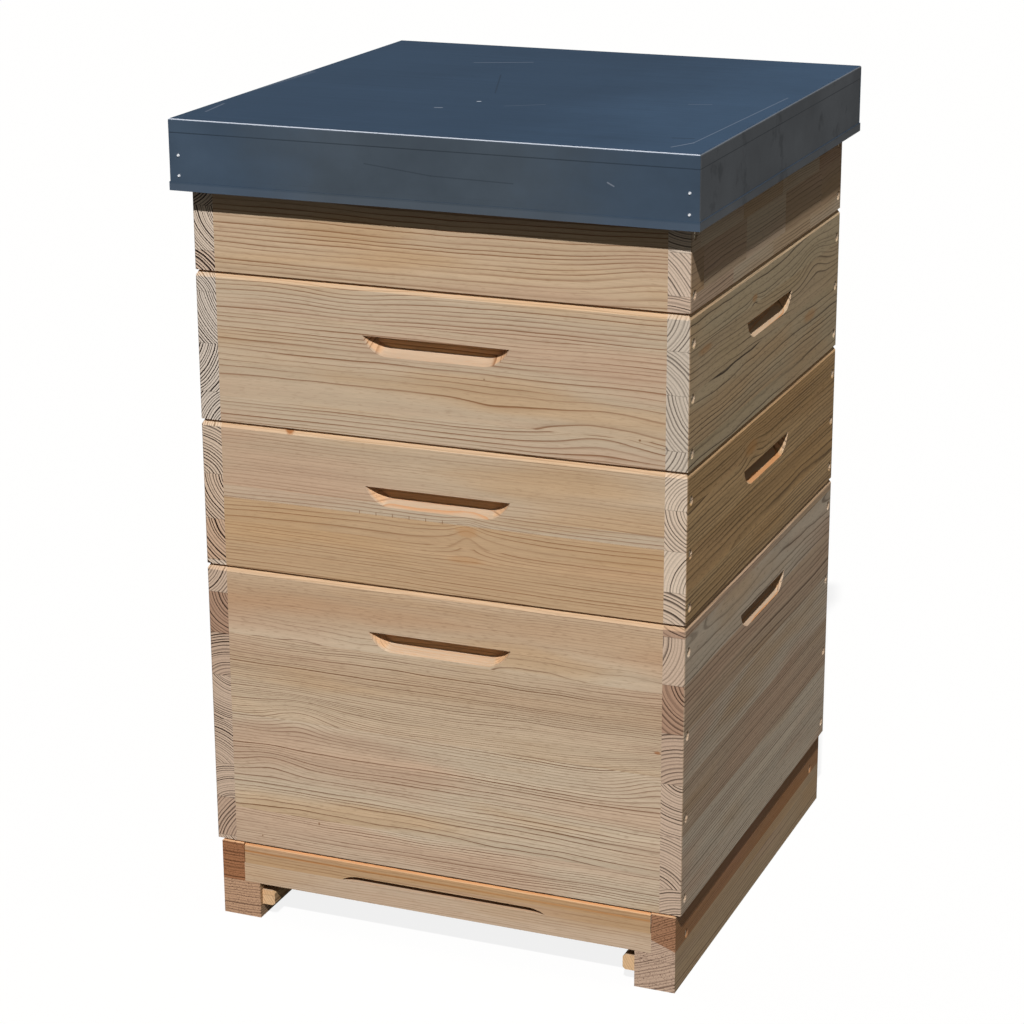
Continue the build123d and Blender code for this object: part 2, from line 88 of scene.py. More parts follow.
class Graph:
    """Adds nodes to a tree. Inputs are sockets, which are linked, or plain values, which are set."""

    def __init__(self, tree):
        self.tree = tree

    def node(self, kind, **settings):
        made = self.tree.nodes.new(kind)
        for name, value in settings.items():
            setattr(made, name, value)
        return made

    def plug(self, socket, value):
        if isinstance(value, bpy.types.NodeSocket):
            self.tree.links.new(value, socket)
        else:
            socket.default_value = value

    def fill(self, node, **inputs):
        for name, value in inputs.items():
            self.plug(node.inputs[name.replace("_", " ")], value)
        return node

    def place(self):
        """Where a point lies, in metres."""
        return self.node("ShaderNodeTexCoord").outputs["Object"]

    def normals(self):
        """The way that the surface faces at a point."""
        return self.split(self.node("ShaderNodeNewGeometry").outputs["Normal"])

    def math(self, operation, *values):
        made = self.node("ShaderNodeMath", operation=operation)
        for socket, value in zip(made.inputs, values):
            self.plug(socket, value)
        return made.outputs[0]

    def add(self, first, second):
        return self.math("ADD", first, second)

    def sub(self, first, second):
        return self.math("SUBTRACT", first, second)

    def mul(self, first, second):
        return self.math("MULTIPLY", first, second)

    def div(self, first, second):
        return self.math("DIVIDE", first, second)

    def square(self, value):
        return self.math("POWER", value, 2.0)

    def absolute(self, value):
        return self.math("ABSOLUTE", value)

    def larger(self, first, second):
        return self.math("MAXIMUM", first, second)

    def centred(self, noise):
        """Noise that goes as far below zero as above it."""
        return self.sub(noise, NOISE_MIDDLE)

    def step(self, value, low, high):
        """Smooth rise from 0 at low to 1 at high."""
        made = self.node("ShaderNodeMapRange", interpolation_type="SMOOTHSTEP")
        self.fill(made, Value=value, From_Min=low, From_Max=high)
        return made.outputs["Result"]

    def fall(self, value, low, high):
        """Smooth fall from 1 at low to 0 at high."""
        return self.sub(1.0, self.step(value, low, high))

    def range(self, value, low, high):
        """Turns 0 to 1 into low to high."""
        made = self.node("ShaderNodeMapRange", clamp=False)
        self.fill(made, Value=value, To_Min=low, To_Max=high)
        return made.outputs["Result"]

    def mix(self, share, first, second, blend="MIX"):
        made = self.node("ShaderNodeMix", data_type="RGBA", blend_type=blend)
        self.fill(made, Factor=share)
        self.plug(made.inputs[MIX_FIRST], first)
        self.plug(made.inputs[MIX_SECOND], second)
        return made.outputs[MIX_RESULT]

    def tint(self, colour, tone, mask, share):
        """A colour with a share of a tone laid over it where the mask is 1."""
        return self.mix(self.mul(mask, share), colour, tone)

    def shade(self, colour, factor):
        """A colour made lighter or darker by a factor."""
        grey = self.node("ShaderNodeCombineColor")
        self.fill(grey, Red=factor, Green=factor, Blue=factor)
        return self.mix(1.0, colour, grey.outputs[0], blend="MULTIPLY")

    def vector(self, x, y, z):
        made = self.node("ShaderNodeCombineXYZ")
        self.fill(made, X=x, Y=y, Z=z)
        return made.outputs[0]

    def stretch(self, places, scales):
        """A place with its own scale each way, to draw noise out with."""
        return self.vector(*(self.mul(place, scale) for place, scale in zip(places, scales)))

    def split(self, vector):
        made = self.node("ShaderNodeSeparateXYZ")
        self.fill(made, Vector=vector)
        return made.outputs

    def noise(self, vector, scale=1.0, detail=2.0, roughness=0.5):
        made = self.node("ShaderNodeTexNoise")
        self.fill(made, Vector=vector, Scale=scale, Detail=detail, Roughness=roughness)
        return made.outputs["Fac"]

    def bump(self, height, distance, strength):
        made = self.node("ShaderNodeBump")
        self.fill(made, Height=height, Distance=distance, Strength=strength)
        return made.outputs["Normal"]

    def scratch(self, across, up, start, end, width):
        """1 on a thin straight mark between two points of a face."""
        run = (end[0] - start[0], end[1] - start[1])
        reach = max(run[0] ** 2 + run[1] ** 2, width ** 2)
        offset = (self.sub(across, start[0]), self.sub(up, start[1]))
        share = self.add(self.mul(offset[0], run[0] / reach), self.mul(offset[1], run[1] / reach))
        share = self.math("MINIMUM", self.larger(share, 0.0), 1.0)
        aside = self.sub(offset[0], self.mul(share, run[0]))
        above = self.sub(offset[1], self.mul(share, run[1]))
        distance = self.math("SQRT", self.add(self.square(aside), self.square(above)))
        return self.fall(distance, SCRATCH_CORE * width, width)

    def hill(self, along, height, place, level, length, width):
        """A smooth bump of height 1 round one spot of a face."""
        run = self.square(self.div(self.sub(along, place), length))
        rise = self.square(self.div(self.sub(height, level), width))
        return self.math("EXPONENT", self.mul(self.add(run, rise), -1.0))


def new_material(name):
    """A material with a plain Principled shader, the graph to dress it with, and the shader."""
    material = bpy.data.materials.new(name)
    material.use_nodes = True
    graph = Graph(material.node_tree)
    return material, graph, material.node_tree.nodes["Principled BSDF"]


def new_group(name, inputs, outputs):
    """A shading group with number sockets, the graph to fill it with and its input sockets."""
    tree = bpy.data.node_groups.new(name, "ShaderNodeTree")
    for socket in inputs:
        tree.interface.new_socket(socket, in_out="INPUT", socket_type="NodeSocketFloat")
    for socket in outputs:
        tree.interface.new_socket(socket, in_out="OUTPUT", socket_type="NodeSocketFloat")
    graph = Graph(tree)
    return tree, graph, graph.node("NodeGroupInput").outputs


def wear(piece, material):
    """Gives a shown object one material all over."""
    target = NODES[piece] if isinstance(piece, str) else piece
    target.data.materials.clear()
    target.data.materials.append(material)


# Wood: staves

PITH_REACH = (0.028, 0.085)
SEAM_WIDTHS = (0.0001, 0.0006)
STAVE_SPREAD = 40.0


def stave_group():
    """Boards are glued up from staves: the pith and the chances of the stave at one height."""
    tree, graph, given = new_group(
        "staves",
        ("Height", "Seed", "Stave", "Loose", "Lean Low", "Lean High"),
        ("Pith Height", "Pith Depth", "Own", "Tone", "Tint", "Seam"),
    )
    level = graph.add(graph.div(given["Height"], given["Stave"]), given["Seed"])
    cell = graph.node("ShaderNodeTexVoronoi", voronoi_dimensions="1D")
    rim = graph.node("ShaderNodeTexVoronoi", voronoi_dimensions="1D", feature="DISTANCE_TO_EDGE")
    for texture in (cell, rim):
        graph.fill(texture, W=level, Scale=1.0, Randomness=given["Loose"])
    scatter = graph.node("ShaderNodeTexWhiteNoise", noise_dimensions="1D")
    graph.fill(scatter, W=cell.outputs["W"])
    first = graph.split(cell.outputs["Color"])
    second = graph.split(scatter.outputs["Color"])
    middle = graph.mul(graph.sub(cell.outputs["W"], given["Seed"]), given["Stave"])
    lean = graph.range(second[0], given["Lean Low"], given["Lean High"])
    reach = graph.range(second[1], *PITH_REACH)
    up = graph.math("SIGN", graph.centred(first[1]))
    out = graph.math("SIGN", graph.centred(second[2]))
    rise = graph.mul(up, graph.mul(graph.math("SINE", lean), reach))
    away = graph.mul(out, graph.mul(graph.math("COSINE", lean), reach))
    graph.fill(
        graph.node("NodeGroupOutput"),
        Pith_Height=graph.add(middle, rise),
        Pith_Depth=away,
        Own=graph.add(graph.mul(first[2], STAVE_SPREAD), given["Seed"]),
        Tone=first[0],
        Tint=first[2],
        Seam=graph.fall(graph.mul(rim.outputs["Distance"], given["Stave"]), *SEAM_WIDTHS),
    )
    return tree


# Wood: year rings. Scales are per metre along the grain, up the board and through it. A year runs
# from 0 to 1. Lines and bands have two starts: where the saw ran along the rings, and across them.

SWAY_SCALE = 1.6
SWAY_LAYERS = (0.0, 9.0)
WAVE_SCALES = (7.0, 22.0, 22.0)
UNEVEN_SCALE = 0.5
UNEVEN_LAYER = 3.0
UNEVEN_YEARS = 1.5
STRENGTH_YEARS = 0.7
STRENGTH_ALONG = 4.5
STRENGTH_STEP = (0.3, 0.7)
STRENGTHS = (0.25, 1.1)
YEAR_CLOSE = (0.95, 1.0)
LINE_STARTS = (0.90, 0.62)
LINE_FULL = 0.92
END_LINE_STEP = (0.50, 0.76)
BAND_STARTS = (0.7, 0.25)
BAND_FULL = 0.9
FIBRE_SCALES = (30.0, 1000.0, 1000.0)
PATCH_ALONG = 3.0
PATCH_UP = 18.0
STREAK_SCALES = (1.4, 70.0, 70.0)
DASH_SCALES = (110.0, 750.0, 750.0)
DASH_STEP = (0.55, 0.75)


def ring_group():
    """Year rings round a pith that wanders along the grain, with fibres and broad patches."""
    tree, graph, given = new_group(
        "rings",
        ("Along", "Height", "Depth", "Pith Height", "Pith Depth", "Own", "Ring", "Drift", "Wave", "Swirl"),
        ("Line", "End Line", "Band", "Dash", "Fibre", "Patch", "Streak"),
    )
    places = [given[name] for name in ("Along", "Height", "Depth")]
    along, height, depth = places
    own = given["Own"]
    slow = graph.mul(along, SWAY_SCALE)
    sway_depth, sway_height = [
        graph.mul(graph.centred(graph.noise(graph.vector(slow, own, layer), detail=1.0)), given["Drift"])
        for layer in SWAY_LAYERS
    ]
    side = graph.sub(graph.sub(depth, given["Pith Depth"]), sway_depth)
    rise = graph.sub(graph.sub(height, given["Swirl"]), given["Pith Height"])
    rise = graph.sub(rise, sway_height)
    radius = graph.math("SQRT", graph.add(graph.square(side), graph.square(rise)))
    slant = graph.absolute(graph.div(rise, radius))
    wave = graph.noise(graph.stretch(places, WAVE_SCALES), detail=2.0)
    radius = graph.add(radius, graph.mul(graph.centred(wave), given["Wave"]))

    # Each year darkens slowly, ends in a thin line and starts pale again. Where the saw ran along
    # the rings the years lie wide apart, and their lines take a smaller share of them.
    year = graph.div(radius, given["Ring"])
    uneven = graph.noise(graph.vector(graph.mul(year, UNEVEN_SCALE), own, UNEVEN_LAYER), detail=1.0)
    year = graph.add(year, graph.mul(uneven, UNEVEN_YEARS))
    part = graph.math("FRACT", year)
    strong = graph.noise(
        graph.vector(graph.mul(year, STRENGTH_YEARS), graph.mul(along, STRENGTH_ALONG), own),
        detail=1.0,
    )
    strong = graph.range(graph.step(strong, *STRENGTH_STEP), *STRENGTHS)
    ending = graph.mul(graph.fall(part, *YEAR_CLOSE), strong)
    line = graph.mul(graph.step(part, graph.range(slant, *LINE_STARTS), LINE_FULL), ending)
    end_line = graph.mul(graph.step(part, *END_LINE_STEP), ending)
    band = graph.mul(graph.step(part, graph.range(slant, *BAND_STARTS), BAND_FULL), ending)

    patch = graph.vector(graph.mul(along, PATCH_ALONG), graph.mul(height, PATCH_UP), own)
    streak = [graph.mul(place, scale) for place, scale in zip(places, STREAK_SCALES)]
    streak[1] = graph.add(streak[1], own)
    dash = graph.noise(graph.stretch(places, DASH_SCALES), detail=1.0)
    graph.fill(
        graph.node("NodeGroupOutput"),
        Line=line,
        End_Line=end_line,
        Band=band,
        Dash=graph.step(dash, *DASH_STEP),
        Fibre=graph.noise(graph.stretch(places, FIBRE_SCALES), detail=2.0),
        Patch=graph.noise(patch, detail=2.0),
        Streak=graph.noise(graph.vector(*streak), detail=3.0),
    )
    return tree


STAVES = stave_group()
RINGS = ring_group()

# Wood: tones

PALE = srgb(193, 175, 152)
WARM = srgb(190, 160, 128)
PINK = srgb(190, 160, 136)
GOLDEN = srgb(187, 152, 112)
LATE = srgb(112, 64, 20)
SHADE_LATE = srgb(62, 40, 22)
END_PALE = srgb(212, 199, 185)
END_WARM = srgb(168, 130, 106)
END_LATE = srgb(54, 38, 29)
# Painted highlight on the top bevels, and painted warm shade at the bevel's rim under the box above
BEVEL_HIGHLIGHT = srgb(203, 169, 134)
BEVEL_RIM_SHADE = srgb(214, 148, 96)
FRESH_CUT = srgb(182, 158, 134)
FRESH_LATE = srgb(188, 128, 76)
# Painted warm bounce light in the shaded back of a hand hold
HOLD_BOUNCE_LIGHT = srgb(224, 172, 122)
HEART_TINT = srgb(217, 189, 167)
KNOT = srgb(150, 92, 44)
AMBER = srgb(176, 118, 58)
TICK = srgb(120, 84, 50)

# Wood: lengths in metres

BEVEL_HEIGHT = 0.0066
SHADED_RIM = 0.0024
HOLD_REACH = 0.085
HOLD_MARGIN = 0.005
HOLD_SKIN = (0.003, 0.001)
GOLDEN_EDGE = 0.0005
HEART_EDGE = 0.0006
WHOLE_LENGTH = 10.0

# Wood: how far a face leans towards the end, the front or the top before it counts as one

UPWARD_STEP = (0.8, 0.86)
MILLED_STEP = (0.2, 0.4)
FACING_STEP = (0.6, 0.85)
ACROSS_STEP = (0.6, 0.85)
BEVEL_FROM = (0.3, 0.4)
BEVEL_TO = (0.75, 0.8)

# Wood: where tones set in, their shares, and the spread of what differs from place to place

TONE_STEP = (0.3, 0.95)
BLUSH_STEP = (0.45, 0.7)
BLUSH_SHARE = 0.7
STREAK_FALL = (0.3, 0.48)
GOLDEN_SHARE = 0.65
GOLDEN_SEED = 5.37
MILLED_SHARE = 0.75
HOLD_END_BOUNCE_SHARE = 0.6
HOLD_BOUNCE_SHARE = 0.8
FACE_LEVEL = 0.98
BAND_SHARES = (0.2, 1.2)
WARM_STEP = (0.45, 0.85)
WARM_SHARE = 0.9
SEAM_SHARE = 0.3
CLIMB_START = (0.0, 0.05)
CLIMB_SHARES = (0.35, 1.0)
RAGGED_SHARE = 0.5
SPOT_STEP = (0.15, 0.75)
RING_SPREAD = (0.8, 1.25)
PIECE_SPREAD = 30.0
PIECE_DEPTHS = (0.3, 1.7)
FIBRE_TONES = (0.82, 1.16)
FIBRE_ROUGHNESS = (0.65, 0.8)
RELIEF_SHARE = 0.5


@dataclass
class Look:
    """What sets one timber apart from the next. Lengths in metres, directions in radians.

    A pith is a height and a depth. Swirls and spots start with the place along the board, the level,
    the length and the width. A swirl ends with its strength, a spot with its colour and share. Bands
    and faint zones start with their level and spread. A band ends with its colour and share, a faint
    zone with the share that it takes from the lines. A heart is a level, its slope through the board
    and the tint of the wood above it. Pieces are the lengths that a stave is joined from.
    """

    ring: float = 0.0036
    stave: float = 0.040
    loose: float = 0.5
    lean: tuple = (0.5, 1.35)
    pith: tuple = ()
    drift: float = 0.016
    wave: float = 0.005
    contrast: float = 0.8
    broad: float = 0.25
    dashes: float = 0.15
    streaks: float = 0.5
    mottle: float = 0.3
    variety: float = 0.35
    end_contrast: float = 0.9
    end_broad: float = 0.6
    end_dashes: float = 0.1
    pale: tuple = PALE
    warm: tuple = WARM
    blush: tuple = PINK
    late: tuple = LATE
    end_pale: tuple = END_PALE
    end_warm: tuple = END_WARM
    end_late: tuple = END_LATE
    # Share of the painted highlight and rim shade on the top bevel
    bevel_light: float = 0.0
    swirls: tuple = ()
    bands: tuple = ()
    faint: tuple = ()
    spots: tuple = ()
    golden_below: float = 0.0
    heart: tuple = ()
    pieces: float = 0.0


class Board:
    """A board's own ways: along the grain, up the staves, and through it from its middle."""

    def __init__(self, graph, node, axes):
        places = graph.split(graph.place())
        normals = graph.normals()
        lowest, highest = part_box(node)
        thickness = "XYZ".index(axes[2])
        self.half = (highest[thickness] - lowest[thickness]) / 2
        self.along, self.height, through = [places[axis] for axis in axes]
        self.depth = graph.sub(through, lowest[thickness] + self.half)
        self.level = places["Z"]
        self.top = highest.z
        self.endways = graph.absolute(normals[axes[0]])
        self.outwards = graph.absolute(normals[axes[2]])
        self.upwards = normals["Z"]


def grow(graph, board, seed, golden, look):
    """The stave at a place, its tone there, and the grain."""
    if look.golden_below:
        seed = graph.add(graph.mul(golden, GOLDEN_SEED), seed)
    staves = graph.node("ShaderNodeGroup", node_tree=STAVES)
    graph.fill(
        staves,
        Height=board.height,
        Seed=seed,
        Stave=look.stave,
        Loose=look.loose,
        Lean_Low=look.lean[0],
        Lean_High=look.lean[1],
    )
    stave = staves.outputs
    pith_height, pith_depth = look.pith or (stave["Pith Height"], stave["Pith Depth"])
    own, tone = stave["Own"], stave["Tone"]
    if look.pieces:
        piece = graph.math("FLOOR", graph.add(graph.div(board.along, look.pieces), own))
        chance = graph.node("ShaderNodeTexWhiteNoise", noise_dimensions="2D")
        graph.fill(chance, Vector=graph.vector(piece, own, 0.0))
        tone = chance.outputs["Value"]
        own = graph.add(own, graph.mul(tone, PIECE_SPREAD))
        pith_depth = graph.mul(pith_depth, graph.range(tone, *PIECE_DEPTHS))
    swirl = 0.0
    for place, level, length, width, strength in look.swirls:
        bulge = graph.hill(board.along, board.height, place, level, length, width)
        swirl = graph.add(graph.mul(bulge, strength), swirl)
    rings = graph.node("ShaderNodeGroup", node_tree=RINGS)
    graph.fill(
        rings,
        Along=board.along,
        Height=board.height,
        Depth=board.depth,
        Pith_Height=pith_height,
        Pith_Depth=pith_depth,
        Own=own,
        Ring=graph.mul(graph.range(stave["Tint"], *RING_SPREAD), look.ring),
        Drift=look.drift,
        Wave=look.wave,
        Swirl=swirl,
    )
    return stave, tone, rings.outputs


def face_colour(graph, board, tone, grain, golden, look):
    """Faces along the grain: planed, freshly cut, or sunk in a hand hold, where warm bounce light is
    painted on.
    """
    face = graph.tint(look.pale, look.warm, graph.step(tone, *TONE_STEP), look.variety)
    face = graph.tint(face, look.blush, graph.step(grain["Patch"], *BLUSH_STEP), BLUSH_SHARE)
    face = graph.tint(face, GOLDEN, graph.fall(grain["Patch"], *STREAK_FALL), look.streaks)
    face = graph.tint(face, GOLDEN, golden, GOLDEN_SHARE)
    upward = graph.step(board.upwards, *UPWARD_STEP)
    milled = graph.step(board.endways, *MILLED_STEP)
    face = graph.tint(face, FRESH_CUT, graph.larger(upward, milled), MILLED_SHARE)
    # Painted warm bounce light on the faces sunk in a hand hold
    inside, outside = [board.half - skin for skin in HOLD_SKIN]
    sunk = graph.fall(graph.absolute(board.depth), inside, outside)
    facing = graph.step(board.outwards, *FACING_STEP)
    inner = graph.larger(facing, graph.mul(milled, HOLD_END_BOUNCE_SHARE))
    face = graph.tint(face, HOLD_BOUNCE_LIGHT, graph.mul(sunk, inner), HOLD_BOUNCE_SHARE)
    darkest, lightest = FACE_LEVEL - look.mottle / 2, FACE_LEVEL + look.mottle / 2
    face = graph.shade(face, graph.range(grain["Streak"], darkest, lightest))
    for level, spread, colour, share in look.bands:
        band = graph.hill(board.along, board.height, 0.0, level, WHOLE_LENGTH, spread)
        band = graph.mul(band, graph.range(grain["Patch"], *BAND_SHARES))
        face = graph.tint(face, colour, band, share)

    # The years' own lines, weaker where the timber is calm
    contrast = look.contrast
    for level, spread, share in look.faint:
        calm = graph.hill(board.along, board.height, 0.0, level, WHOLE_LENGTH, spread)
        contrast = graph.mul(graph.range(calm, 1.0, 1.0 - share), contrast)
    late = graph.mix(upward, look.late, FRESH_LATE)
    face = graph.tint(face, late, grain["Band"], graph.mul(contrast, look.broad))
    face = graph.tint(face, late, grain["Line"], graph.mul(contrast, 1.0 - look.broad))
    return graph.tint(face, late, grain["Dash"], look.dashes)


def end_colour(graph, stave, grain, look):
    """Faces across the grain, where the rings and the seams between staves show."""
    end = graph.tint(look.end_pale, look.end_warm, graph.step(stave["Tint"], *WARM_STEP), WARM_SHARE)
    ring = graph.mix(look.end_broad, grain["End Line"], grain["Band"])
    end = graph.tint(end, look.end_late, ring, look.end_contrast)
    end = graph.tint(end, look.end_late, grain["Dash"], look.end_dashes)
    return graph.tint(end, look.end_late, stave["Seam"], SEAM_SHARE)


def paint_bevel_light(graph, board, colour, look):
    """Painted highlight on the bevel round the top of a board, and painted warm shade at its rim, where
    the box above shades it.
    """
    bevelled = graph.mul(graph.step(board.upwards, *BEVEL_FROM), graph.fall(board.upwards, *BEVEL_TO))
    climb = graph.div(graph.sub(board.level, board.top - BEVEL_HEIGHT), BEVEL_HEIGHT)
    near_top = graph.mul(graph.step(climb, *CLIMB_START), graph.range(climb, *CLIMB_SHARES))
    rim = graph.step(board.level, board.top - SHADED_RIM, board.top - SHADED_RIM / 2)
    painted_bevel = graph.mix(rim, BEVEL_HIGHLIGHT, BEVEL_RIM_SHADE)
    return graph.tint(colour, painted_bevel, graph.mul(bevelled, near_top), look.bevel_light)


def add_spots(graph, board, colour, look):
    """Knots, resin and small marks, with ragged outlines."""
    ragged = graph.noise(graph.vector(board.along, board.height, board.depth), scale=420.0, detail=2.0)
    ragged = graph.mul(graph.centred(ragged), RAGGED_SHARE)
    for place, level, length, width, tone, share in look.spots:
        spot = graph.add(graph.hill(board.along, board.height, place, level, length, width), ragged)
        colour = graph.tint(colour, tone, graph.step(spot, *SPOT_STEP), share)
    return colour


def wood(node, axes, seed, look):
    """Planed softwood. The axes name the way along the grain, up the staves and through the board."""
    material, graph, shader = new_material(node)
    board = Board(graph, node, axes)
    golden = 0.0
    if look.golden_below:
        golden = graph.fall(board.height, look.golden_below - GOLDEN_EDGE, look.golden_below + GOLDEN_EDGE)
    stave, tone, grain = grow(graph, board, seed, golden, look)
    face = face_colour(graph, board, tone, grain, golden, look)
    end = end_colour(graph, stave, grain, look)
    outside = graph.step(graph.absolute(board.along), HOLD_REACH, HOLD_REACH + HOLD_MARGIN)
    colour = graph.mix(graph.mul(graph.step(board.endways, *ACROSS_STEP), outside), face, end)
    if look.heart:
        level, slope, tint = look.heart
        edge = graph.sub(board.height, graph.add(graph.mul(board.depth, slope), level))
        above = graph.step(edge, -HEART_EDGE, HEART_EDGE)
        colour = graph.mix(above, colour, tint, blend="MULTIPLY")
    colour = paint_bevel_light(graph, board, colour, look)
    colour = add_spots(graph, board, colour, look)
    relief = graph.mul(graph.sub(grain["Fibre"], grain["Line"]), RELIEF_SHARE)
    graph.fill(
        shader,
        Base_Color=graph.shade(colour, graph.range(grain["Fibre"], *FIBRE_TONES)),
        Roughness=graph.range(grain["Fibre"], *FIBRE_ROUGHNESS),
        Specular_IOR_Level=0.06,
        Normal=graph.bump(relief, distance=0.0003, strength=0.4),
    )
    return material


# Wood: the looks of the boards

ALONG_X = ("X", "Z", "Y")
ALONG_Y = ("Y", "Z", "X")
# Share of the painted bevel highlight and rim shade on the boards
BEVEL_LIGHT = 0.8

FRONT_LOOKS = {
    "feeder": Look(
        ring=0.0040,
        stave=0.12,
        lean=(0.9, 1.2),
        contrast=0.95,
        broad=0.2,
        bevel_light=BEVEL_LIGHT,
        pale=srgb(194, 170, 142),
        swirls=((0.225, 0.715, 0.06, 0.03, 0.012),),
    ),
    "upper_super": Look(
        ring=0.0036,
        stave=0.085,
        lean=(0.9, 1.35),
        contrast=0.9,
        broad=0.2,
        bevel_light=BEVEL_LIGHT,
        swirls=((-0.085, 0.672, 0.05, 0.02, -0.006), (0.166, 0.562, 0.06, 0.022, 0.012)),
        spots=(
            (0.205, 0.560, 0.0012, 0.0012, TICK, 0.8),
            (0.050, 0.603, 0.0010, 0.0010, TICK, 0.6),
        ),
    ),
    "lower_super": Look(
        ring=0.0031,
        stave=0.085,
        lean=(0.9, 1.35),
        contrast=0.9,
        broad=0.2,
        bevel_light=BEVEL_LIGHT,
        golden_below=0.456,
        faint=((0.500, 0.036, 0.75), (0.420, 0.030, 0.3)),
        swirls=((0.031, 0.447, 0.013, 0.015, 0.008), (0.034, 0.440, 0.040, 0.018, 0.007)),
        spots=(
            (-0.1555, 0.5315, 0.0048, 0.0042, KNOT, 0.85),
            (0.031, 0.450, 0.0120, 0.0060, AMBER, 0.30),
            (0.029, 0.421, 0.0200, 0.0040, AMBER, 0.22),
            *((-0.082 + 0.0175 * tick, 0.457, 0.0005, 0.0022, TICK, 0.7) for tick in range(6)),
        ),
    ),
    "brood": Look(
        ring=0.0026,
        stave=0.085,
        lean=(0.9, 1.35),
        wave=0.008,
        contrast=1.0,
        broad=0.15,
        bevel_light=BEVEL_LIGHT,
        dashes=0.22,
        mottle=0.5,
        pale=srgb(197, 181, 159),
        late=srgb(96, 54, 16),
        faint=((0.350, 0.036, 0.75),),
        swirls=(
            (-0.153, 0.232, 0.035, 0.018, 0.011),
            (-0.189, 0.178, 0.03, 0.016, 0.007),
            (0.235, 0.222, 0.05, 0.030, 0.016),
        ),
        bands=(
            (0.285, 0.015, srgb(150, 108, 68), 0.35),
            (0.360, 0.030, srgb(176, 132, 90), 0.65),
        ),
        spots=(
            (0.226, 0.2515, 0.0035, 0.0016, KNOT, 0.7),
            (-0.135, 0.118, 0.0010, 0.0016, TICK, 0.7),
            (-0.200, 0.094, 0.0010, 0.0010, TICK, 0.7),
        ),
    ),
}

# Tones of the end grain: pale and warm staves, and the lines
END_TONES = {
    "feeder": (srgb(212, 195, 178), srgb(200, 176, 156), srgb(38, 25, 19)),
    "upper_super": (srgb(208, 195, 182), srgb(198, 182, 166), srgb(34, 24, 19)),
    "lower_super": (srgb(212, 194, 175), srgb(196, 164, 138), srgb(42, 26, 18)),
    "brood": (srgb(196, 173, 153), srgb(164, 131, 109), srgb(46, 30, 22)),
}


def end_tones(box):
    """The end grain's part of a side board's look."""
    return dict(zip(("end_pale", "end_warm", "end_late"), END_TONES[box]))


BACK_LOOK = Look(stave=0.085, bevel_light=BEVEL_LIGHT)

LEFT_CONTRAST = {"feeder": 1.5, "upper_super": 1.8, "lower_super": 1.25, "brood": 1.0}


def left_look(box):
    """A left board's look, which the photo shows only at its front end."""
    return Look(
        ring=0.0029,
        stave=0.044,
        end_contrast=LEFT_CONTRAST[box],
        end_broad=0.15,
        end_dashes=0.15,
        bevel_light=BEVEL_LIGHT,
        **end_tones(box),
    )


RIGHT_LOOKS = {
    "feeder": Look(
        ring=0.0028,
        stave=0.033,
        pieces=0.13,
        variety=1.0,
        pale=srgb(198, 180, 156),
        warm=srgb(158, 124, 90),
        late=SHADE_LATE,
        end_broad=0.4,
        bevel_light=BEVEL_LIGHT,
        **end_tones("feeder"),
    ),
    "upper_super": Look(
        ring=0.0043,
        stave=0.045,
        contrast=1.0,
        broad=0.15,
        dashes=0.3,
        mottle=0.45,
        pale=srgb(184, 166, 137),
        blush=srgb(182, 160, 126),
        late=srgb(40, 26, 14),
        end_broad=0.0,
        end_contrast=0.75,
        end_pale=srgb(198, 185, 170),
        end_late=srgb(46, 34, 27),
        bevel_light=BEVEL_LIGHT,
        swirls=((0.157, 0.648, 0.05, 0.020, 0.014), (-0.053, 0.650, 0.016, 0.008, 0.005)),
        spots=(
            (-0.053, 0.654, 0.0085, 0.0040, AMBER, 0.45),
            (0.145, 0.591, 0.022, 0.0060, AMBER, 0.40),
            (-0.205, 0.640, 0.020, 0.0040, AMBER, 0.35),
        ),
    ),
    "lower_super": Look(
        ring=0.0034,
        contrast=1.0,
        broad=0.55,
        dashes=0.35,
        mottle=1.0,
        variety=0.9,
        pale=srgb(186, 158, 120),
        warm=srgb(174, 136, 88),
        blush=srgb(178, 142, 98),
        late=srgb(46, 27, 12),
        bevel_light=BEVEL_LIGHT,
        swirls=((-0.050, 0.500, 0.03, 0.014, 0.009),),
        spots=((-0.052, 0.503, 0.020, 0.0070, AMBER, 0.35),),
        **end_tones("lower_super"),
    ),
    "brood": Look(
        ring=0.0036,
        stave=0.050,
        variety=0.9,
        contrast=1.0,
        dashes=0.25,
        mottle=0.45,
        # A greyer, bluer pale tone: painted cool skylight on this shaded side
        pale=srgb(200, 186, 167),
        warm=srgb(182, 158, 134),
        late=SHADE_LATE,
        end_broad=0.4,
        bevel_light=BEVEL_LIGHT,
        **end_tones("brood"),
    ),
}


BOX_SEED_STEP = 10.0
BOARD_SEEDS = {"front": 3.2, "back": 5.6, "left": 7.8, "right": 9.4}
BOARD_AXES = {"front": ALONG_X, "back": ALONG_X, "left": ALONG_Y, "right": ALONG_Y}


def dress_boxes():
    """Boards of the four boxes, each with its own grain."""
    for number, box in enumerate(BOXES):
        looks = {
            "front": FRONT_LOOKS[box],
            "back": BACK_LOOK,
            "left": left_look(box),
            "right": RIGHT_LOOKS[box],
        }
        for side, look in looks.items():
            node = f"{box}_{side}_board"
            seed = BOX_SEED_STEP * number + BOARD_SEEDS[side]
            wear(node, wood(node, BOARD_AXES[side], seed, look))


SILL_SEEDS = {"floor_front_sill": 41.0, "floor_back_sill": 43.0, "floor_back_bar": 45.0}
BLOCK_SEED = 47.0
RAIL_SEEDS = {"left": 51.0, "right": 53.0}
STRIP_SEEDS = {"left": 55.0, "right": 57.0}

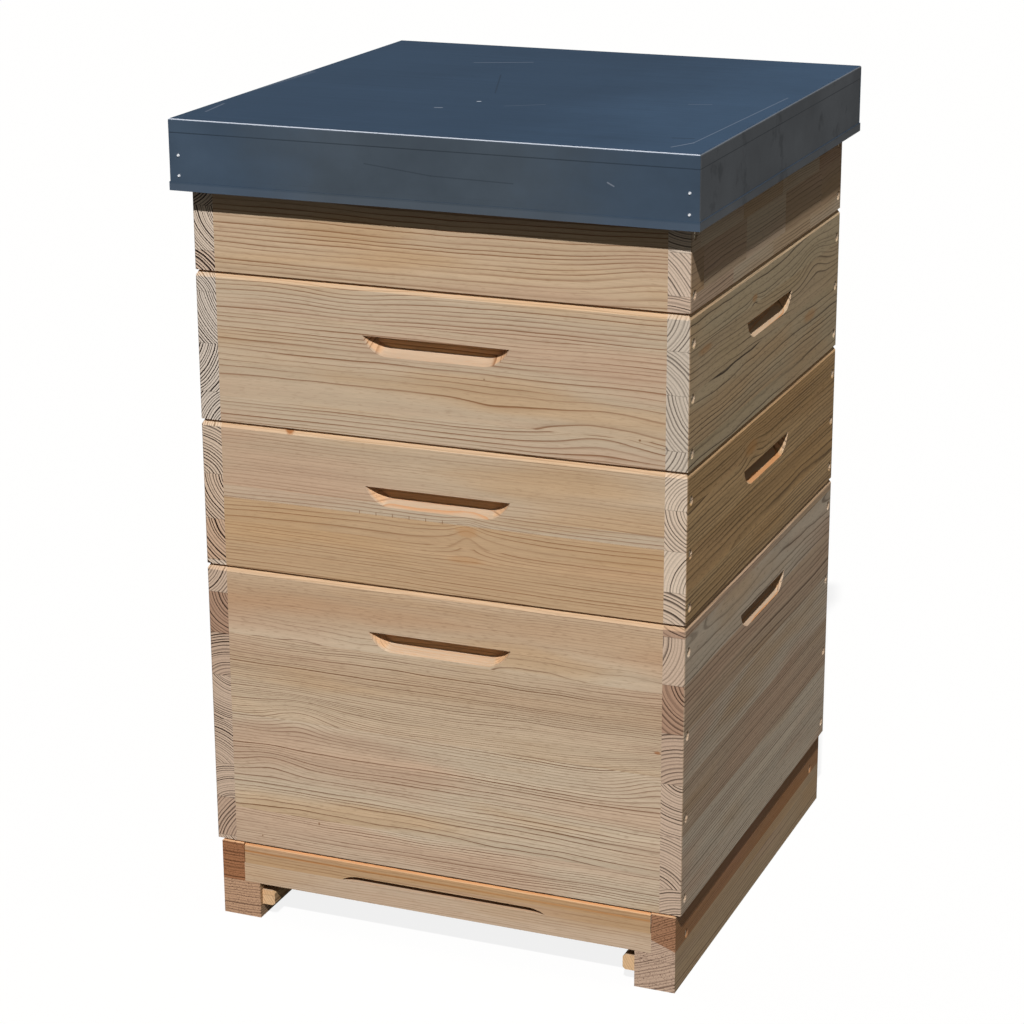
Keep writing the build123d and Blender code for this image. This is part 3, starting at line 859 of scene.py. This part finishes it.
SILL_LOOK = Look(pith=(-0.10, 0.03), ring=0.0030, contrast=0.5, pale=srgb(194, 173, 151))
BLOCK_LOOK = Look(
    pith=(0.16, -0.02),
    ring=0.0038,
    contrast=0.45,
    pale=srgb(180, 149, 115),
    bevel_light=0.6,
    # The first band is a streak in the wood; the second, under the top edge, is a painted warm highlight
    bands=((0.0735, 0.0011, srgb(176, 112, 46), 0.9), (0.0800, 0.003, srgb(180, 130, 84), 0.5)),
)
STRIP_LOOK = Look(
    pith=(0.05, 0.05),
    ring=0.0028,
    end_contrast=0.3,
    pale=srgb(200, 168, 128),
    end_pale=srgb(214, 178, 138),
    end_warm=srgb(206, 166, 124),
)


def rail_look(pith, heart, pale, end_tone):
    """A rail's look. Each rail is one timber, so its end has one tone."""
    return Look(
        pith=pith,
        heart=(*heart, HEART_TINT),
        pale=pale,
        late=SHADE_LATE,
        end_pale=end_tone,
        end_warm=end_tone,
        end_late=srgb(66, 42, 30),
        ring=0.0029,
        end_contrast=0.65,
        end_broad=0.25,
        end_dashes=0.75,
        bevel_light=BEVEL_LIGHT,
    )


RAIL_LOOKS = {
    "left": rail_look((0.30, 0.0), (0.039, 0.0), srgb(184, 152, 118), srgb(184, 148, 120)),
    "right": rail_look((0.24, -0.08), (0.052, -0.38), srgb(184, 160, 130), srgb(188, 162, 142)),
}


def dress_floor():
    """The floor's timbers, each sawn in one piece, and the entrance block."""
    for node, seed in SILL_SEEDS.items():
        wear(node, wood(node, ALONG_X, seed, SILL_LOOK))
    wear("entrance_block", wood("entrance_block", ALONG_X, BLOCK_SEED, BLOCK_LOOK))
    for side, look in RAIL_LOOKS.items():
        node = f"floor_{side}_rail"
        wear(node, wood(node, ALONG_Y, RAIL_SEEDS[side], look))
    for side, seed in STRIP_SEEDS.items():
        for piece in ("batten", "runner"):
            node = f"floor_{side}_{piece}"
            wear(node, wood(node, ALONG_Y, seed, STRIP_LOOK))


# Roof

# Lengths in metres
SCORE_LEVEL = 0.8195
SCORE_WIDTHS = (0.0002, 0.0007)
HEM_LEVEL = 0.7705
HEM_EDGE = 0.0005
DULL_REACH = (0.08, 0.24)
DULL_RAGGED = 0.3
RIGHTWARD_REACH = (0.02, 0.26)
RIGHTWARD_RAGGED = 0.25

# How far a face leans towards the top, a side or the front before it counts as one
ROOF_UP = (0.5, 0.9)
ROOF_SIDEWAYS = (0.6, 0.9)
ROOF_FRONT = (-0.6, -0.3)
FOLD_FROM = (0.35, 0.55)
FOLD_TO = (0.75, 0.92)

# Scales of the noise across the roof, along it and up it
RUB_SCALES = (9.0, 9.0, 16.0)
BRUSH_SCALES = (4.0, 420.0, 1.0)

# Shares and factors of the tones. Pairs run from the skirt to the top, or from weak to strong.
RIGHTWARD_TONES = (0.82, 1.06)
SMEAR_STEP = (0.56, 0.68)
SMEAR_SHARE = 0.3
UNEVEN_SHARES = (0.8, 0.3)
RUB_TONES = (1.0, 1.6)
BRUSH_TONES = (1.0, 1.35)
SCORE_SHARES = (0.2, 0.8)
HEM_SHARE = 0.025
FOLD_HIGHLIGHT_SHARES = (0.12, 0.75)
ROOF_ROUGHNESS = (0.42, 0.6)

# The top's blue is partly a painted sky reflection; the sides' lighter grey is a painted reflection of the
# surroundings
ROOF_TOP_PAINT_AND_SKY = (0.027, 0.052, 0.092, 1.0)
ROOF_SKIRT_TONE = (0.047, 0.071, 0.106, 1.0)
ROOF_DULL_TONE = (0.058, 0.076, 0.098, 1.0)
ROOF_SIDE_PAINT_AND_REFLECTION = (0.112, 0.124, 0.140, 1.0)
# Pale paint for the scratches and the hem, and a painted highlight on the folds
ROOF_WORN_AND_HIGHLIGHT = srgb(205, 212, 226)
ROOF_SCORED = srgb(22, 27, 33)

# Scratches in the paint: the two ends on the face, the width in metres, the tone and its share
TOP_SCRATCHES = (
    ((-0.248, -0.225), (-0.253, -0.178), 0.0016, ROOF_WORN_AND_HIGHLIGHT, 0.10),
    ((-0.265, -0.110), (-0.258, 0.030), 0.0050, ROOF_WORN_AND_HIGHLIGHT, 0.05),
    ((-0.124, 0.146), (-0.067, 0.170), 0.0016, ROOF_WORN_AND_HIGHLIGHT, 0.12),
    ((-0.026, -0.080), (-0.024, -0.079), 0.0018, ROOF_WORN_AND_HIGHLIGHT, 0.70),
    ((-0.067, 0.080), (-0.029, -0.028), 0.0010, ROOF_SCORED, 0.40),
    ((-0.051, -0.127), (-0.045, -0.125), 0.0018, ROOF_WORN_AND_HIGHLIGHT, 0.28),
    ((0.229, -0.244), (0.241, -0.218), 0.0014, ROOF_WORN_AND_HIGHLIGHT, 0.14),
    ((0.241, -0.218), (0.251, 0.045), 0.0010, ROOF_WORN_AND_HIGHLIGHT, 0.10),
    ((0.216, -0.201), (0.234, -0.197), 0.0022, ROOF_SCORED, 0.45),
    ((0.172, -0.024), (0.193, -0.018), 0.0016, ROOF_WORN_AND_HIGHLIGHT, 0.07),
    ((0.009, -0.095), (0.042, -0.074), 0.0014, ROOF_WORN_AND_HIGHLIGHT, 0.06),
)
FRONT_SCRATCHES = (
    ((-0.061, 0.803), (0.006, 0.796), 0.0008, ROOF_SCORED, 0.30),
    ((0.006, 0.796), (0.087, 0.7945), 0.0008, ROOF_SCORED, 0.30),
    ((0.178, 0.802), (0.184, 0.799), 0.0009, ROOF_WORN_AND_HIGHLIGHT, 0.20),
)


def roof_paint():
    """Dark painted sheet: dull and blue patches, a scored line round the skirt, scratches, painted
    highlights on the folds, and painted reflection in the tones of the top and sides.
    """
    material, graph, shader = new_material("roof_paint")
    place = graph.place()
    places = graph.split(place)
    x, y, z = places
    normals = graph.normals()
    up = graph.step(normals["Z"], *ROOF_UP)
    sideways = graph.step(graph.absolute(normals["X"]), *ROOF_SIDEWAYS)
    front = graph.fall(normals["Y"], *ROOF_FRONT)
    smudge = graph.noise(place, scale=7.0, detail=5.0, roughness=0.62)
    smudged = graph.centred(smudge)

    # Base tones of the top, the front and back, and the sides. The top's blue is partly a painted sky
    # reflection, and the sides' lighter grey is a painted reflection of the surroundings.
    outward = graph.add(graph.absolute(x), graph.mul(smudged, DULL_RAGGED))
    colour = graph.mix(graph.fall(outward, *DULL_REACH), ROOF_SKIRT_TONE, ROOF_DULL_TONE)
    # The top grows lighter towards its right side
    rightward = graph.step(graph.add(x, graph.mul(smudged, RIGHTWARD_RAGGED)), *RIGHTWARD_REACH)
    colour = graph.mix(up, colour, graph.shade(ROOF_TOP_PAINT_AND_SKY, graph.range(rightward, *RIGHTWARD_TONES)))
    colour = graph.mix(sideways, colour, ROOF_SIDE_PAINT_AND_REFLECTION)
    smears = graph.noise(place, scale=24.0, detail=6.0, roughness=0.6)
    smears = graph.mul(graph.step(smears, *SMEAR_STEP), graph.mul(sideways, SMEAR_SHARE))
    colour = graph.shade(colour, graph.sub(1.0, smears))
    uneven = graph.mul(smudged, graph.range(up, *UNEVEN_SHARES))
    colour = graph.shade(colour, graph.add(uneven, 1.0))
    rubbed = graph.centred(graph.noise(graph.stretch(places, RUB_SCALES), detail=6.0))
    rubbed = graph.mul(rubbed, graph.sub(1.0, up))
    colour = graph.shade(colour, graph.range(rubbed, *RUB_TONES))
    brushed = graph.centred(graph.noise(graph.stretch(places, BRUSH_SCALES), detail=2.0))
    colour = graph.shade(colour, graph.range(graph.mul(brushed, up), *BRUSH_TONES))

    # Marks of making and use, and a painted highlight on the folds
    score = graph.fall(graph.absolute(graph.sub(z, SCORE_LEVEL)), *SCORE_WIDTHS)
    colour = graph.tint(colour, ROOF_SCORED, score, graph.range(smudge, *SCORE_SHARES))
    hem = graph.fall(z, HEM_LEVEL - HEM_EDGE, HEM_LEVEL + HEM_EDGE)
    colour = graph.tint(colour, ROOF_WORN_AND_HIGHLIGHT, hem, HEM_SHARE)
    # Painted highlight along the folds, strongest on the front
    fold_highlight = graph.mul(graph.step(normals["Z"], *FOLD_FROM), graph.fall(normals["Z"], *FOLD_TO))
    colour = graph.tint(colour, ROOF_WORN_AND_HIGHLIGHT, fold_highlight, graph.range(front, *FOLD_HIGHLIGHT_SHARES))
    for scratches, rise, shown in ((TOP_SCRATCHES, y, up), (FRONT_SCRATCHES, z, front)):
        for start, end, width, tone, share in scratches:
            mark = graph.mul(graph.scratch(x, rise, start, end, width), shown)
            colour = graph.tint(colour, tone, mark, share)
    graph.fill(
        shader,
        Base_Color=colour,
        Roughness=graph.range(smudge, *ROOF_ROUGHNESS),
        Specular_IOR_Level=0.0,
        Coat_Weight=0.06,
        Coat_Roughness=0.3,
    )
    return material


METAL_TONES = (0.8, 1.15)
METAL_SMOOTHER = 0.1
METAL_ROUGHER = 0.15


def metal(name, colour, roughness):
    """Bare metal with faint wear."""
    material, graph, shader = new_material(name)
    wearing = graph.noise(graph.place(), scale=300.0, detail=3.0)
    graph.fill(
        shader,
        Base_Color=graph.shade(colour, graph.range(wearing, *METAL_TONES)),
        Roughness=graph.range(wearing, roughness - METAL_SMOOTHER, roughness + METAL_ROUGHER),
        Metallic=1.0,
    )
    return material


SOFTBOARD_DARK = srgb(120, 88, 56)
SOFTBOARD_PALE = srgb(176, 140, 98)


def softboard():
    """Wood-fibre board, brown and matted."""
    material, graph, shader = new_material("softboard")
    place = graph.place()
    matted = graph.noise(place, scale=350.0, detail=4.0, roughness=0.7)
    cloudy = graph.noise(place, scale=25.0, detail=3.0)
    colour = graph.mix(graph.step(matted, low=0.35, high=0.7), SOFTBOARD_DARK, SOFTBOARD_PALE)
    graph.fill(
        shader,
        Base_Color=graph.shade(colour, graph.range(cloudy, low=0.85, high=1.15)),
        Roughness=0.95,
        Specular_IOR_Level=0.1,
        Normal=graph.bump(matted, distance=0.0008, strength=0.6),
    )
    return material


def dress_roof():
    wear("roof_sheet", roof_paint())
    wear("roof_rivets", metal("rivet_aluminium", srgb(226, 228, 232), roughness=0.3))
    wear("roof_insulation", softboard())


# Inside

HEX_ROW = math.sqrt(3.0)
CELL_SIZE = 0.0054
CELL_WALL = (0.36, 0.48)
WAX_CELL = srgb(212, 160, 66)
WAX_WALL = srgb(232, 188, 98)


def hexagon_walls(graph, across, up):
    """1 on the walls of a honeycomb, 0 in its cells. A cell is 1 wide."""
    nearest = []
    for shift in (0.0, 0.5):
        offset_x = graph.sub(graph.math("FLOORED_MODULO", graph.add(across, shift), 1.0), 0.5)
        raised = graph.add(up, shift * HEX_ROW)
        offset_y = graph.sub(graph.math("FLOORED_MODULO", raised, HEX_ROW), HEX_ROW / 2)
        side = graph.absolute(offset_x)
        rise = graph.absolute(offset_y)
        slant = graph.add(graph.mul(side, 0.5), graph.mul(rise, HEX_ROW / 2))
        nearest.append(graph.larger(side, slant))
    return graph.step(graph.math("MINIMUM", *nearest), *CELL_WALL)


def wax():
    """Foundation sheets, embossed with the outlines of cells."""
    material, graph, shader = new_material("wax")
    place = graph.place()
    places = graph.split(place)
    walls = hexagon_walls(graph, graph.div(places["Y"], CELL_SIZE), graph.div(places["Z"], CELL_SIZE))
    cloudy = graph.noise(place, scale=30.0, detail=3.0)
    colour = graph.mix(walls, WAX_CELL, WAX_WALL)
    graph.fill(
        shader,
        Base_Color=graph.shade(colour, graph.range(cloudy, low=0.85, high=1.12)),
        Roughness=0.45,
        Specular_IOR_Level=0.3,
        Normal=graph.bump(walls, distance=0.0008, strength=0.8),
    )
    return material


PLY = 0.0015
PLY_EDGE = (0.35 * PLY, 0.65 * PLY)
PLY_DARK = srgb(140, 100, 66)
BIRCH_PALE = srgb(214, 190, 152)
BIRCH_DARK = srgb(194, 162, 120)
BIRCH_GRAIN = (14.0, 420.0, 1.0)
BIRCH_FIGURE = (3.0, 40.0, 1.0)


def plywood(name, flat):
    """Birch plywood: fine straight grain on the faces, and plies on the edges of a flat panel."""
    material, graph, shader = new_material(name)
    places = graph.split(graph.place())
    grain = graph.noise(graph.stretch(places, BIRCH_GRAIN), detail=4.0)
    figure = graph.noise(graph.stretch(places, BIRCH_FIGURE), detail=3.0)
    colour = graph.mix(graph.step(figure, low=0.35, high=0.7), BIRCH_PALE, BIRCH_DARK)
    if flat:
        plies = graph.step(graph.math("PINGPONG", places["Z"], PLY), *PLY_EDGE)
        edge = graph.fall(graph.absolute(graph.normals()["Z"]), low=0.3, high=0.6)
        colour = graph.mix(graph.mul(edge, plies), colour, PLY_DARK)
    graph.fill(
        shader,
        Base_Color=graph.shade(colour, graph.range(grain, low=0.88, high=1.1)),
        Roughness=0.7,
        Specular_IOR_Level=0.15,
        Normal=graph.bump(grain, distance=0.0002, strength=0.4),
    )
    return material


TRAY_PALE = srgb(214, 212, 202)
TRAY_LINE = srgb(120, 122, 120)
TRAY_DUST = srgb(120, 92, 60)
TRAY_SQUARE = 0.025
TRAY_LINE_WIDTHS = (0.0003, 0.0007)
TRAY_LINE_SHARE = 0.35
TRAY_DUST_SHARE = 0.5


def tray_plastic():
    """Pale plastic with a plain counting grid, for what falls through the mesh."""
    material, graph, shader = new_material("tray_plastic")
    place = graph.place()
    places = graph.split(place)
    lines = 0.0
    for axis in ("X", "Y"):
        distance = graph.math("PINGPONG", places[axis], TRAY_SQUARE / 2)
        lines = graph.larger(graph.fall(distance, *TRAY_LINE_WIDTHS), lines)
    upper = graph.step(graph.normals()["Z"], low=0.5, high=0.9)
    dust = graph.noise(place, scale=400.0, detail=2.0)
    fallen = graph.mul(graph.step(dust, low=0.66, high=0.72), upper)
    colour = graph.tint(TRAY_PALE, TRAY_LINE, graph.mul(lines, upper), TRAY_LINE_SHARE)
    colour = graph.tint(colour, TRAY_DUST, fallen, TRAY_DUST_SHARE)
    graph.fill(
        shader,
        Base_Color=colour,
        Roughness=graph.range(dust, low=0.35, high=0.55),
        Specular_IOR_Level=0.4,
    )
    return material


FRAME_SEEDS = {"brood": 60.5, "lower_super": 73.5, "upper_super": 86.5}
FRAME_AXES = {
    "top_bars": ("Y", "X", "Z"),
    "end_bars": ("Z", "X", "Y"),
    "bottom_bars": ("Y", "X", "Z"),
}
FRAME_LOOK = Look(
    loose=0.0,
    stave=FRAME_PITCH,
    contrast=0.4,
    pale=srgb(216, 192, 156),
    warm=srgb(206, 176, 134),
)
CLEAT_SEEDS = {"left": 91.0, "right": 95.0}
CLEAT_LOOK = Look(ring=0.003)


def dress_inside():
    """Frames, feeder, inner cover, screws and tray."""
    foundation = wax()
    for box, seed in FRAME_SEEDS.items():
        for piece, axes in FRAME_AXES.items():
            node = f"{box}_{piece}"
            wear(node, wood(node, axes, seed, FRAME_LOOK))
        wear(f"{box}_foundations", foundation)
    for node in ("feeder_floor", "inner_cover_panel"):
        wear(node, plywood(node, flat=True))
    for node in ("feeder_passage", "feeder_cap"):
        wear(node, plywood(node, flat=False))
    for side, seed in CLEAT_SEEDS.items():
        node = f"inner_cover_{side}_cleat"
        wear(node, wood(node, ALONG_Y, seed, CLEAT_LOOK))
    zinc = metal("screw_zinc", srgb(140, 128, 108), roughness=0.45)
    for box in (*BOXES, "floor"):
        wear(f"{box}_screws", zinc)
    wear("inspection_tray", tray_plastic())


# Fine wire screen in the floor

SCREEN_PITCH = 0.0032
WIRE_SIDES = 6


def add_wire(vertices, faces, start, end, radius, side, up):
    """One straight wire between two points, as a closed prism."""
    first = len(vertices)
    for end_point in (start, end):
        for corner in range(WIRE_SIDES):
            angle = 2 * math.pi * corner / WIRE_SIDES
            vertices.append(end_point + (side * math.cos(angle) + up * math.sin(angle)) * radius)
    for corner in range(WIRE_SIDES):
        after = (corner + 1) % WIRE_SIDES
        last = first + WIRE_SIDES
        faces.append((first + corner, first + after, last + after, last + corner))
    faces.append(tuple(first + WIRE_SIDES - 1 - corner for corner in range(WIRE_SIDES)))
    faces.append(tuple(first + WIRE_SIDES + corner for corner in range(WIRE_SIDES)))


def make_screen():
    """The mesh floor: two layers of fine wires that fill the place of the wires in the frame."""
    vertices = []
    faces = []
    across, along, up = Vector((1, 0, 0)), Vector((0, 1, 0)), Vector((0, 0, 1))
    for node, run, step in (
        ("floor_mesh_cross_wires", across, along),
        ("floor_mesh_long_wires", along, across),
    ):
        low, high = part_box(node)
        radius = (high.z - low.z) / 2
        middle = (low + high) / 2
        half_run = run * (((high - low).dot(run)) / 2)
        half_step = (high - low).dot(step) / 2 - radius
        count = int(2 * half_step / SCREEN_PITCH)
        for number in range(count + 1):
            place = middle + step * (half_step * (2 * number / count - 1))
            add_wire(vertices, faces, place - half_run, place + half_run, radius, step, up)
    mesh = bpy.data.meshes.new("floor_screen")
    mesh.from_pydata(vertices, [], faces)
    mesh.validate()
    screen = bpy.data.objects.new("floor_screen", mesh)
    bpy.context.scene.collection.objects.link(screen)
    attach(screen, "floor")
    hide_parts("floor_mesh_cross_wires", "floor_mesh_long_wires")
    wear(screen, metal("mesh_steel", srgb(176, 178, 180), roughness=0.4))


# Stage, light and camera

def background_rays(graph):
    """1 for the rays that show the background: seen directly, mirrored or through glass."""
    rays = graph.node("ShaderNodeLightPath").outputs
    seen = graph.larger(rays["Is Camera Ray"], rays["Is Glossy Ray"])
    return graph.larger(seen, rays["Is Transmission Ray"])


def make_stage():
    """A plain pale floor, white to the eye, that keeps the hive's shadow."""
    mesh = bpy.data.meshes.new("ground")
    half = FLOOR_SIZE / 2
    corners = [(-half, -half, 0), (half, -half, 0), (half, half, 0), (-half, half, 0)]
    mesh.from_pydata(corners, [], [(0, 1, 2, 3)])
    ground = bpy.data.objects.new("ground", mesh)
    bpy.context.scene.collection.objects.link(ground)
    material = bpy.data.materials.new("ground")
    material.use_nodes = True
    tree = material.node_tree
    tree.nodes.clear()
    graph = Graph(tree)
    seen = background_rays(graph)
    diffuse = graph.node("ShaderNodeBsdfDiffuse")
    tone = graph.range(seen, FLOOR_BOUNCE, FLOOR_SEEN)
    grey = graph.node("ShaderNodeCombineColor")
    graph.fill(grey, Red=tone, Green=tone, Blue=tone)
    graph.plug(diffuse.inputs["Color"], grey.outputs[0])
    white = graph.node("ShaderNodeEmission")
    mixed = graph.node("ShaderNodeMixShader")
    graph.plug(mixed.inputs[0], graph.mul(seen, 1.0 - FLOOR_SHADOW_SHARE))
    graph.plug(mixed.inputs[1], diffuse.outputs[0])
    graph.plug(mixed.inputs[2], white.outputs[0])
    out = graph.node("ShaderNodeOutputMaterial")
    graph.plug(out.inputs["Surface"], mixed.outputs[0])
    wear(ground, material)
    return ground


def add_sun(name, direction, strength, angle):
    lamp = bpy.data.lights.new(name, "SUN")
    lamp.energy = strength
    lamp.angle = math.radians(angle)
    lamp.color = SUN_COLOUR
    sun = bpy.data.objects.new(name, lamp)
    sun.rotation_mode = "QUATERNION"
    sun.rotation_quaternion = direction.to_track_quat("Z", "Y")
    bpy.context.scene.collection.objects.link(sun)
    return sun


def make_light(ground):
    """The sun of the photograph, a fill for the faces that it leaves dark, and a little sky."""
    add_sun("key", KEY_DIRECTION, KEY_STRENGTH, KEY_ANGLE)
    fill = add_sun("fill", FILL_DIRECTION, FILL_STRENGTH, FILL_ANGLE)
    fill.visible_glossy = False
    unlit = bpy.data.collections.new("not lit by the fill")
    unlit.objects.link(ground)
    unlit.collection_objects[0].light_linking.link_state = "EXCLUDE"
    fill.light_linking.receiver_collection = unlit
    world = bpy.data.worlds.new("world")
    bpy.context.scene.world = world
    world.use_nodes = True
    graph = Graph(world.node_tree)
    background = world.node_tree.nodes["Background"]
    seen = background_rays(graph)
    graph.plug(background.inputs["Color"], graph.mix(seen, (*AMBIENT_COLOUR, 1.0), (1.0, 1.0, 1.0, 1.0)))
    graph.plug(background.inputs["Strength"], graph.range(seen, AMBIENT_STRENGTH, 1.0))


def make_camera():
    azimuth = math.radians(CAMERA_AZIMUTH)
    elevation = math.radians(CAMERA_ELEVATION)
    right = Vector((math.cos(azimuth), math.sin(azimuth), 0))
    back = Vector(
        (
            math.sin(azimuth) * math.cos(elevation),
            -math.cos(azimuth) * math.cos(elevation),
            math.sin(elevation),
        )
    )
    up = back.cross(right)
    turn = Matrix((right, up, back)).transposed() @ Matrix.Rotation(math.radians(CAMERA_ROLL), 3, "Z")
    data = bpy.data.cameras.new("camera")
    data.lens = CAMERA_LENS
    data.sensor_width = CAMERA_SENSOR
    camera = bpy.data.objects.new("camera", data)
    camera.matrix_world = Matrix.Translation(CAMERA_PLACE) @ turn.to_4x4()
    bpy.context.scene.collection.objects.link(camera)
    bpy.context.scene.camera = camera


dress_boxes()
dress_floor()
dress_roof()
dress_inside()
make_screen()
make_light(make_stage())
make_camera()
bpy.context.scene.view_settings.view_transform = "Standard"
